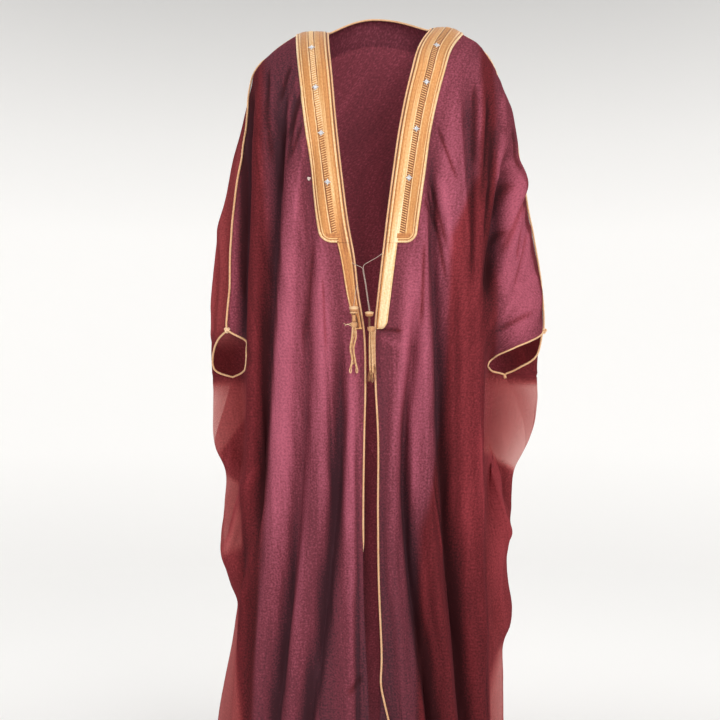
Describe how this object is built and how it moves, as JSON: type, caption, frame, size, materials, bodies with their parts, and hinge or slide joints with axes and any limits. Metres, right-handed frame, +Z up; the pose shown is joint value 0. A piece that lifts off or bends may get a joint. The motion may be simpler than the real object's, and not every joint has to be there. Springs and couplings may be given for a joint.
{
  "type": "bisht cloak",
  "caption": "Bisht cloak worn open: a wide sheer maroon overgarment with gold embroidered bands on the fronts and neck, gold piping, hand openings and tie tassels.",
  "frame": {"origin": "midway between the shoulder points beside the neck, where the wearer's shoulders carry the cloak", "axes": "+Z up along the cloak, +X towards the wearer's left, -Y out of the open front"},
  "size_m": [0.6833, 0.4548, 1.5038],
  "materials": {
    "cloth": "sheer plain weave, soft sheen",
    "zari": "gold metal-thread embroidery",
    "gold_cord": "twisted gold cord",
    "tie_thread": "dull gold and silver thread"
  },
  "bodies": {
    "root": {"back": "cloth", "front_right": "cloth", "front_left": "cloth", "band_wide_right": "zari", "band_wide_left": "zari", "band_narrow_right": "zari", "band_narrow_left": "zari", "band_neck": "zari", "piping_front_right": "gold_cord", "piping_front_left": "gold_cord", "piping_neck": "gold_cord", "piping_seam_right": "gold_cord", "piping_seam_left": "gold_cord", "piping_hand_front_right": "gold_cord", "piping_hand_front_left": "gold_cord", "piping_hand_back_right": "gold_cord", "piping_hand_back_left": "gold_cord", "tie_right": "tie_thread", "tie_left": "tie_thread", "tie_cross": "tie_thread", "bead_right": "gold_cord", "bead_left": "gold_cord", "tassel_right": "tie_thread", "tassel_left": "tie_thread"}
  },
  "joints": []
}
